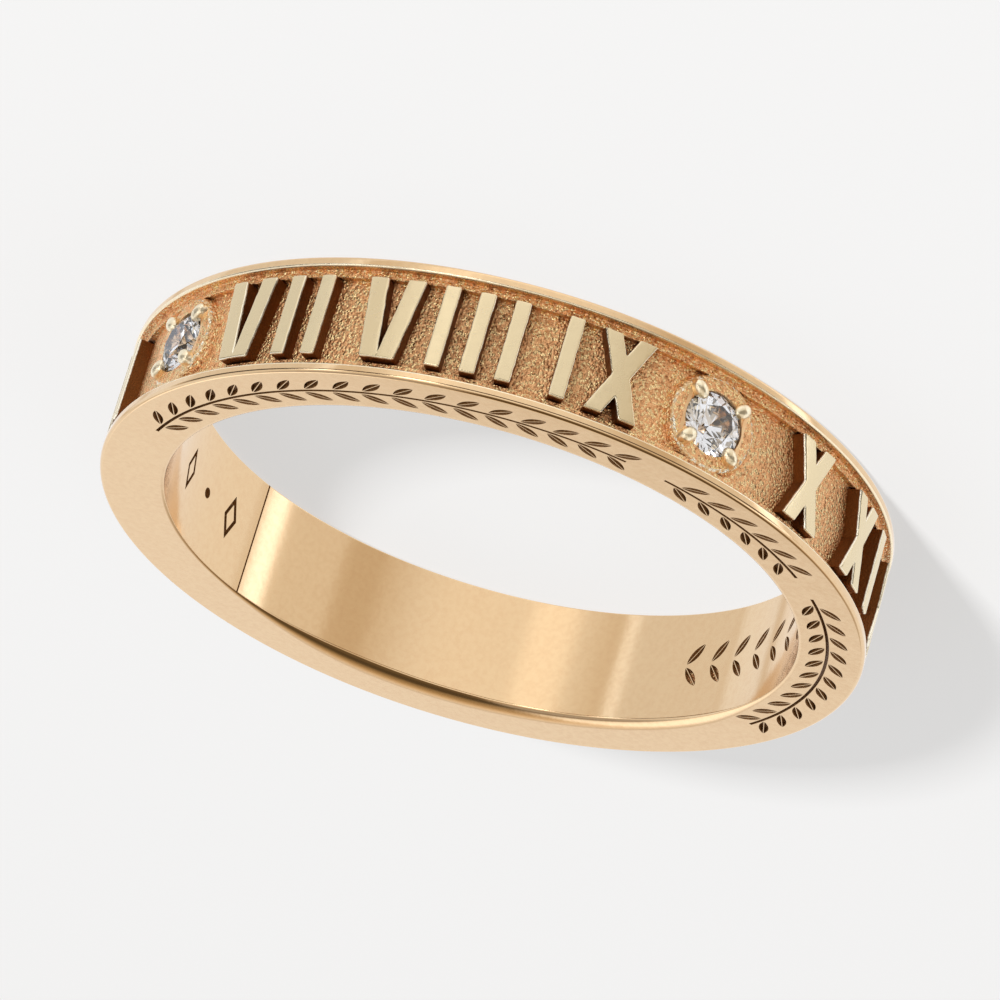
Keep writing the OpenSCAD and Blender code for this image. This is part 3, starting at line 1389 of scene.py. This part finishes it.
@dataclass
class Numerals:
    """Raised numerals of one line, bent onto the wall."""

    sizes: RingSizes
    height: float = 2.32
    bar_w: float = 0.42
    slant_w: float = 0.5
    cross_w: float = 1.48
    vee_w: float = 1.54
    vee_foot_w: float = 0.96
    # Room of a line in degrees, widest gap in it, and a word's gap beside a letter's
    line_angle: float = 66.5
    gap_max: float = 0.75
    word_ratio: float = 2
    edge: float = 0.045
    # Degrees between the slices that let a line bend
    slice_angle: float = 0.75
    wobble: float = 0.04
    wobble_size: float = 0.2
    shapes: dict[Glyph, Piece] = field(default_factory=dict)

    def _stroke(self, foot_x: float, top_x: float, width: float) -> Piece:
        """A straight stroke, from its foot at high Z to its top at low Z.

        Args:
            foot_x: middle of the foot.
            top_x: middle of the top.
            width: of the stroke.

        Returns:
            The stroke, its raised side at Y = 0.
        """
        depth, middle = self.sizes.panel_depth + ROOT, self.sizes.mid_z
        stroke = add_form(
            bpy.ops.mesh.primitive_cube_add, (width, depth, self.height), size=1,
            location=(foot_x, depth / 2, middle),
        )
        with editing(stroke):
            select_where(stroke, Part.CORNERS, lambda corner, normal: corner.z < middle)
            bpy.ops.transform.translate(value=(top_x - foot_x, 0, 0))
        return stroke

    def width_of(self, glyph: Glyph) -> float:
        """Width of a numeral along the ring."""
        return {Glyph.BAR: self.bar_w, Glyph.VEE: self.vee_w, Glyph.CROSS: self.cross_w}[glyph]

    def _shape(self, glyph: Glyph) -> Piece:
        """One numeral in the middle of its own width, with softened edges.

        Args:
            glyph: which numeral.

        Returns:
            The numeral, laid flat.
        """
        if glyph is Glyph.BAR:
            shape = self._stroke(0, 0, self.bar_w)
        elif glyph is Glyph.VEE:
            foot, top = (self.vee_foot_w - self.slant_w) / 2, (self.vee_w - self.slant_w) / 2
            shape = self._stroke(-foot, -top, self.slant_w)
            boolean(shape, self._stroke(foot, top, self.slant_w), "UNION")
        else:
            side = (self.cross_w - self.slant_w) / 2
            shape = self._stroke(-side, side, self.slant_w)
            boolean(shape, self._stroke(side, -side, self.slant_w), "UNION")
        with editing(shape):
            bpy.ops.mesh.remove_doubles(threshold=WELD)
            bpy.ops.mesh.dissolve_limited(angle_limit=FLAT_ANGLE)
            select_where(shape, Part.EDGES, lambda middle, along: abs(along.y) > ALONG)
            bpy.ops.mesh.bevel(offset=self.edge, segments=2, affect="EDGES")
            select_where(shape, Part.EDGES, self._on_top)
            bpy.ops.mesh.bevel(offset=self.edge, segments=3, affect="EDGES")
        return shape

    @staticmethod
    def _on_top(middle: Vector, along: Vector) -> bool:
        """True for an edge that lies in the raised side."""
        return middle.y < WELD and abs(along.y) < FLAT_ANGLE

    def _places(self, text: str) -> Iterator[tuple[Glyph, float]]:
        """Spaces out the numerals of a line.

        Args:
            text: the line, with spaces between the numbers.

        Yields:
            Each numeral, and where its middle lies beside the middle of the line.
        """
        room = math.radians(self.line_angle) * self.sizes.outer_r
        glyphs = [None if letter == " " else Glyph(letter) for letter in text]
        ink = sum(self.width_of(glyph) for glyph in glyphs if glyph)
        weights = [
            self.word_ratio / 2 if left is None or right is None else 1
            for left, right in zip(glyphs, glyphs[1:])
        ]
        gap = min(self.gap_max, (room - ink) / sum(weights))
        start = -(ink + gap * sum(weights)) / 2
        for glyph, weight in zip(glyphs, weights + [0]):
            wide = self.width_of(glyph) if glyph else 0
            if glyph:
                yield glyph, start + wide / 2
            start += wide + gap * weight

    def build(self, text: str, angle: float, finish: Material) -> Piece:
        """Lays out one line of numerals flat, slices it and bends it onto the ring.

        Args:
            text: the numerals of the line, with spaces between the numbers.
            angle: middle of its panel, in degrees.
            finish: its material.

        Returns:
            The line.
        """
        made = []
        for glyph, along in self._places(text):
            if glyph not in self.shapes:
                self.shapes[glyph] = self._shape(glyph)
            made.append(copy_of(self.shapes[glyph]))
            apply_place(made[-1], Matrix.Translation((-along, 0, 0)))
        line = joined(made)
        reach = max(abs(corner.co.x) for corner in line.data.vertices)
        step = math.radians(self.slice_angle) * self.sizes.outer_r
        with editing(line):
            for number in range(1, int(2 * reach / step) + 1):
                slice_all((number * step - reach, 0, 0), (1, 0, 0))
            for number in range(1, int(self.height / step)):
                level = self.sizes.mid_z - self.height / 2 + number * step
                slice_all((0, 0, level), (0, 0, 1))
        self._wobble(line)
        self.sizes.bend(line, 2 * reach, angle)
        return dress(line, "numerals_" + text.replace(" ", "_"), [finish])

    def _wobble(self, line: Piece) -> None:
        """Makes the outlines slightly uneven, as cast, without changing the height.

        Args:
            line: the flat line.
        """
        clouds = bpy.data.textures.new("cast_unevenness", "CLOUDS")
        clouds.noise_scale = self.wobble_size
        for axis in ("X", "Z"):
            modify(line, "DISPLACE", texture=clouds, direction=axis, strength=self.wobble)
        bpy.data.textures.remove(clouds)

    def clear(self) -> None:
        """Removes the numerals that the lines were copied from."""
        for shape in self.shapes.values():
            bpy.data.objects.remove(shape)
        self.shapes.clear()


@dataclass
class StonePad:
    """Round pad under a stone, a little prouder than the ledges."""

    sizes: RingSizes
    room: StoneRoom
    radius: float = 1.26
    edge: float = 0.07
    proud: float = 0.025
    # Size of the pad's deep end beside its top
    draft: float = 1.18
    steps: int = 96
    slices: int = 24

    def build(self, number: int, angle: float, finishes: Sequence[Material]) -> Piece:
        """Models the pad and cuts the stone's seat.

        Args:
            number: of the stone that it carries.
            angle: place on the ring, in degrees.
            finishes: of its faces, of its rounded edge with a painted highlight, and of the
                stone's seat.

        Returns:
            The pad.
        """
        sizes = self.sizes
        top = sizes.ledge_depth - self.proud
        height = sizes.panel_depth + ROOT - top
        pad = add_form(
            bpy.ops.mesh.primitive_cylinder_add, vertices=self.steps, radius=self.radius,
            depth=height, location=(0, top + height / 2, sizes.mid_z),
            rotation=(math.pi / 2, 0, 0),
        )
        with editing(pad):
            select_where(pad, Part.FACES, lambda middle, normal: normal.y > ALONG)
            bpy.ops.transform.resize(
                value=(self.draft, 1, self.draft), center_override=(0, top + height, sizes.mid_z)
            )
            select_where(pad, Part.FACES, lambda middle, normal: normal.y < -ALONG)
            bpy.ops.mesh.region_to_loop()
            bpy.ops.mesh.bevel(offset=self.edge, segments=3, affect="EDGES")
            for cut in range(1, self.slices):
                slice_all((self.radius * (2 * cut / self.slices - 1), top, 0), (1, 0, 0))
        sizes.bend(pad, 2 * self.radius, angle)
        seat = self.room.make(crown=False)
        apply_place(seat, sizes.on_wall(angle))
        boolean(pad, seat, "DIFFERENCE")
        flat = sizes.on_wall(angle).inverted()

        def finish_of(middle: Vector, normal: Vector) -> int:
            """Chooses a finish for one face of the pad.

            Args:
                middle: of the face.
                normal: of the face, not used.

            Returns:
                The number of the finish.
            """
            off = (flat @ middle).xy.length
            if off < self.room.seat_r + WELD:
                return PadFinish.SEAT
            # The rounded edge round the top takes the brighter gold: painted highlight
            high = middle.xy.length > sizes.ledge_r + self.proud - self.edge
            return PadFinish.EDGE if high and off > self.radius - self.edge else PadFinish.TOP

        return dress(pad, f"stone_pad_{number}", finishes, finish_of)


@dataclass
class Claws:
    """Four claws that hold a stone, each a leaning post with a flat bead."""

    sizes: RingSizes
    room: StoneRoom
    # Distance of a bead from the stone's middle, its half sizes, and how far the post leans out
    reach: float = 0.94
    bead: Point = (0.27, 0.2, 0.15)
    lean: float = 0.16
    steps: tuple[int, int] = (28, 16)
    shape: Piece | None = None

    def _shape(self) -> Piece:
        """One claw on +X beside a stone over +Z, notched for the stone.

        Returns:
            The claw.
        """
        level = self.sizes.outer_r - self.bead[2]
        foot = level - (self.sizes.panel_r - ROOT)
        around, up = self.steps
        claw = add_form(
            bpy.ops.mesh.primitive_uv_sphere_add, self.bead, segments=around, ring_count=up,
            radius=1, location=(self.reach, 0, level),
        )
        with editing(claw):
            select_where(claw, Part.CORNERS, lambda corner, normal: corner.z < level - WELD)
            bpy.ops.transform.translate(value=(self.lean, 0, -foot))
        boolean(claw, self.room.make(crown=True), "DIFFERENCE")
        return claw

    def build(self, number: int, angle: float, finish: Material) -> list[Piece]:
        """Sets four claws round one stone.

        Args:
            number: of the stone.
            angle: place on the ring, in degrees.
            finish: their material.

        Returns:
            The four claws.
        """
        if self.shape is None:
            self.shape = self._shape()
        made = []
        for corner in range(4):
            claw = copy_of(self.shape)
            turned = Matrix.Rotation(math.radians(45 + 90 * corner), 4, "Z")
            apply_place(claw, self.sizes.on_wall(angle) @ turned)
            made.append(dress(claw, f"claw_{number}_{corner + 1}", [finish]))
        return made

    def clear(self) -> None:
        """Removes the shape that the claws were copied from."""
        if self.shape is not None:
            bpy.data.objects.remove(self.shape)
            self.shape = None


@dataclass(frozen=True)
class Viewpoint:
    """Where the camera stands: azimuth 0 looks along +Y, in degrees and millimetres."""

    azimuth: float = 27.062
    elevation: float = 24.442
    roll: float = -163.414
    distance: float = 199.37
    aim: Point = (0.071, -0.133, 1.369)
    lens: float = 270.71
    sensor: float = 36

    @property
    def towards(self) -> Vector:
        """Direction from the ring to the camera.

        Returns:
            The unit vector.
        """
        turn, rise = math.radians(self.azimuth), math.radians(self.elevation)
        level = Vector((math.sin(turn), -math.cos(turn), 0))
        return level * math.cos(rise) + Vector((0, 0, math.sin(rise)))

    def build(self) -> Piece:
        """Makes the scene's camera.

        Returns:
            The camera.
        """
        data = bpy.data.cameras.new("camera")
        data.lens = self.lens
        data.sensor_width = self.sensor
        data.clip_start = 0.01
        camera = bpy.data.objects.new("camera", data)
        bpy.context.collection.objects.link(camera)
        back = self.towards
        level = Vector((0, 0, 1)).cross(back).normalized()
        rolled = Matrix.Rotation(math.radians(self.roll), 3, back)
        right, up = rolled @ level, rolled @ back.cross(level)
        turn = Matrix((right, up, back)).transposed().to_4x4()
        place = (Vector(self.aim) + back * self.distance) * MM
        camera.matrix_world = Matrix.Translation(place) @ turn
        bpy.context.scene.camera = camera
        return camera


@dataclass(frozen=True)
class Strip:
    """An upright strip in the surround, centred on an azimuth from +X, in degrees."""

    azimuth: float
    half_width: float
    gain: float
    fade: float = 4
    cool: float = 0

    def shape(self, x: Wire, y: Wire) -> Wire:
        """1 in the level directions inside the strip and 0 outside.

        Args:
            x: of each level direction.
            y: of each level direction.

        Returns:
            The shape.
        """
        turn = math.radians(self.azimuth)
        toward = x * math.cos(turn) + y * math.sin(turn)
        outer, inner = self.half_width, max(0, self.half_width - self.fade)
        return toward.step(math.cos(math.radians(outer)), math.cos(math.radians(inner)))


def direction(azimuth: float, elevation: float) -> Vector:
    """Unit vector of a direction.

    Args:
        azimuth: from +X, in degrees.
        elevation: above the floor, in degrees.

    Returns:
        The vector.
    """
    turn, rise = math.radians(azimuth), math.radians(elevation)
    level = math.cos(rise)
    return Vector((math.cos(turn) * level, math.sin(turn) * level, math.sin(rise)))


def facing(way: Parts, azimuth: float, elevation: float) -> Wire:
    """How closely each direction agrees with one direction.

    Args:
        way: each direction.
        azimuth: of the one direction, from +X, in degrees.
        elevation: of the one direction, in degrees.

    Returns:
        The cosine of the angle between them.
    """
    x, y, z = way
    one = direction(azimuth, elevation)
    return x * one.x + y * one.y + z * one.z


@dataclass(frozen=True)
class Spot:
    """A small bright patch in the surround, in degrees."""

    azimuth: float
    elevation: float
    half_width: float
    gain: float

    def lobe(self, way: Parts) -> Wire:
        """Brightness that the patch adds in each direction.

        Args:
            way: each direction.

        Returns:
            The brightness.
        """
        edge = math.radians(self.half_width)
        toward = facing(way, self.azimuth, self.elevation)
        return toward.step(math.cos(edge), math.cos(edge / 3)) * self.gain


@dataclass(frozen=True)
class ShadowLight:
    """A small area light, low on one side, that lights the floor alone."""

    azimuth: float = -29
    elevation: float = 22
    distance: float = 1.2
    size: float = 0.13
    power: float = 38

    def build(self, floor: Piece) -> Piece:
        """Makes the light and aims it at the ring.

        Args:
            floor: the only thing that it lights.

        Returns:
            The light.
        """
        data = bpy.data.lights.new("shadow_light", "AREA")
        data.energy = self.power
        data.size = self.size
        light = bpy.data.objects.new("shadow_light", data)
        bpy.context.collection.objects.link(light)
        back = direction(self.azimuth, self.elevation)
        light.location = back * self.distance
        light.rotation_euler = back.to_track_quat("Z", "Y").to_euler()
        lit = bpy.data.collections.new("lit_by_shadow_light")
        lit.objects.link(floor)
        light.light_linking.receiver_collection = lit
        return light


@dataclass(frozen=True)
class Studio:
    """Pale light table in a soft surround of upright strips."""

    floor: PaleFloor = PaleFloor()
    floor_size: float = 4
    # The floor lies this far under the ring, in millimetres
    floor_gap: float = 0.01
    # Brightness between the strips, tints of its dim, its bright and its cool places, and the
    # brightnesses between which the dim tint gives way to the bright one
    base: float = 0.78
    warm: Colour = (1.0, 0.86, 0.68, 1)
    white: Colour = (1.0, 1.0, 1.0, 1)
    cool: Colour = (0.93, 1.0, 1.12, 1)
    warm_range: Pair = (0.6, 1.0)
    strips: tuple[Strip, ...] = (
        Strip(-50, 48, 0.27, 48),
        Strip(-31, 12, 0.22, 10),
        Strip(-2, 3.5, 0.35, 2, 0.4),
        Strip(21.5, 26.5, 0.12, 3, 0.4),
        Strip(59.5, 12.5, 0.28, 3, 0.9),
        Strip(141, 67, 0.24, 4, 0.3),
        Strip(-144.5, 7, 1.1, 8, 0.9),
        Strip(-128, 17, 0.1, 3),
        Strip(-103, 9, -0.07, 4),
    )
    # The zone overhead, the dark band along the horizon, and the zone above the side face's
    # mirrored direction: each has a level, and its edges run between sines of an elevation
    top_level: float = 0.5
    top_range: Pair = (0.66, 0.86)
    horizon: Strip = Strip(-50, 100, 1, 12)
    horizon_level: float = 0.12
    horizon_low: Pair = (-0.28, -0.2)
    horizon_high: Pair = (0.14, 0.26)
    face: Strip = Strip(117, 50, 1, 20)
    face_level: float = 0.68
    face_range: Pair = (0.406, 0.45)
    # A dim ceiling round one direction, except on the side that faces another one. The edges
    # run between cosines of the angle from the direction
    ceiling: Pair = (117, 80.4)
    ceiling_range: Pair = (0.547, 0.842)
    ceiling_level: float = 0.3
    ceiling_tint: Colour = (1.0, 0.74, 0.42, 1)
    lit_side: Pair = (30.6, -7.8)
    lit_range: Pair = (0.0, 0.045)
    spots: tuple[Spot, ...] = (
        Spot(-60, -62, 34, 0.15),
        Spot(-31, 6, 9, 6),
        Spot(-3, 12, 9, 3),
        Spot(103, 43, 22, 0.85),
    )
    shadow: ShadowLight = ShadowLight()

    def _floor(self) -> Piece:
        """A pale floor that isn't mirrored in the gold.

        Returns:
            The floor.
        """
        floor = add_form(
            bpy.ops.mesh.primitive_plane_add, size=self.floor_size,
            location=(0, 0, -self.floor_gap * MM),
        )
        floor.name = "floor"
        floor.visible_glossy = False
        floor.data.materials.append(self.floor.make("pale_floor"))
        floor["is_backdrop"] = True
        return floor

    def _surround(self) -> None:
        """Soft strips all round, a darker horizon and ceiling, and small bright spots."""
        world = bpy.data.worlds.new("surround")
        world.use_nodes = True
        bpy.context.scene.world = world
        graph = Graph(world.node_tree)
        way = graph.parts(graph.add("ShaderNodeTexCoord", output="Generated"))
        x, y, z = way
        # Never nought, so that the division works straight above too
        length = ((x * x + y * y) ** 0.5).at_least(0.01)
        flat = x / length, y / length
        shapes = [(strip, strip.shape(*flat)) for strip in self.strips]
        around = sum((shape * strip.gain for strip, shape in shapes), self.base)
        cool = sum(shape * strip.cool for strip, shape in shapes if strip.cool)
        overhead = z.step(*self.top_range)
        bright = around * (1 - overhead) + overhead * self.top_level
        above, below = z.step(*self.horizon_low), 1 - z.step(*self.horizon_high)
        band = above * below * self.horizon.shape(*flat)
        over_face = z.step(*self.face_range) * self.face.shape(*flat)
        bright = bright * band.between(1, self.horizon_level)
        bright = bright * over_face.between(1, self.face_level)
        for spot in self.spots:
            bright = bright + spot.lobe(way)
        away = 1 - facing(way, *self.lit_side).step(*self.lit_range)
        dim = facing(way, *self.ceiling).step(*self.ceiling_range) * away
        bright = bright * dim.between(1, self.ceiling_level)
        tint = graph.blend(bright.step(*self.warm_range), self.warm, self.white)
        tint = graph.blend(dim, graph.blend(cool, tint, self.cool), self.ceiling_tint)
        sky = graph.add("ShaderNodeBackground", {}, {"Color": tint, "Strength": bright})
        graph.node("ShaderNodeOutputWorld", {}, {"Surface": sky})

    def build(self) -> None:
        """Sets the floor, the surround and the light."""
        self.shadow.build(self._floor())
        self._surround()
        bpy.context.scene.view_settings.view_transform = "Standard"


@dataclass
class ClassRing:
    """The whole ring."""

    sizes: RingSizes
    stone_angles: tuple[float, ...] = (0, 90, 180, 270)
    lines: tuple[tuple[str, float], ...] = (
        ("VII VIII IX", -45),
        ("X XI XII", -135),
        ("I II III", -225),
        ("IV V VI", -315),
    )

    def build(self) -> None:
        """Builds and dresses every piece."""
        room = StoneRoom.from_frame(self.sizes)
        polished = PolishedGold().make("polished_gold")
        blasted = BlastedGold().make("blasted_gold")
        worn_edge = HIGHLIGHT_GOLD.make("worn_edge")
        claw_gold = LIT_BEAD_GOLD.make("claw_gold")
        pad_edge = PAD_HIGHLIGHT_GOLD.make("pad_edge")
        # The seats' gold is painted lighter than the band's: painted light
        seat = LIT_SEAT_GOLD.make("seat_gold")
        engraved = EngravedGold().make("engraved_gold")
        tops = NumeralGold(self.sizes.outer_r).make("numeral_gold")
        gem = CutGem().make("clear_stone")
        shell = BandShell(
            self.sizes, room, LeafBranches(self.sizes), WallMarks(self.sizes), self.stone_angles
        )
        shell.build([polished, blasted, engraved, worn_edge])
        numerals = Numerals(self.sizes)
        for text, angle in self.lines:
            numerals.build(text, angle, tops)
        numerals.clear()
        pads, claws = StonePad(self.sizes, room), Claws(self.sizes, room)
        for number, angle in enumerate(self.stone_angles, 1):
            pads.build(number, angle, [blasted, pad_edge, seat])
            claws.build(number, angle, claw_gold)
            stone = frame["nodes"][f"stone_{number}"]
            stone.data.materials.clear()
            stone.data.materials.append(gem)
            LOG.info("%s: dressed", stone.name)
        claws.clear()


def write_sizes() -> None:
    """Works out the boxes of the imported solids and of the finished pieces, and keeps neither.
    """
    boxes = {"cad": CAD_BOX, "visual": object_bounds()}
    {name: [list(corner) for corner in box] for name, box in boxes.items()}


def main() -> None:
    """Builds the studio and the ring."""
    logging.basicConfig(level=logging.INFO, format="%(message)s")
    Viewpoint().build()
    Studio().build()
    ClassRing(RingSizes.from_frame()).build()
    write_sizes()


if __name__ == "__main__":
    main()
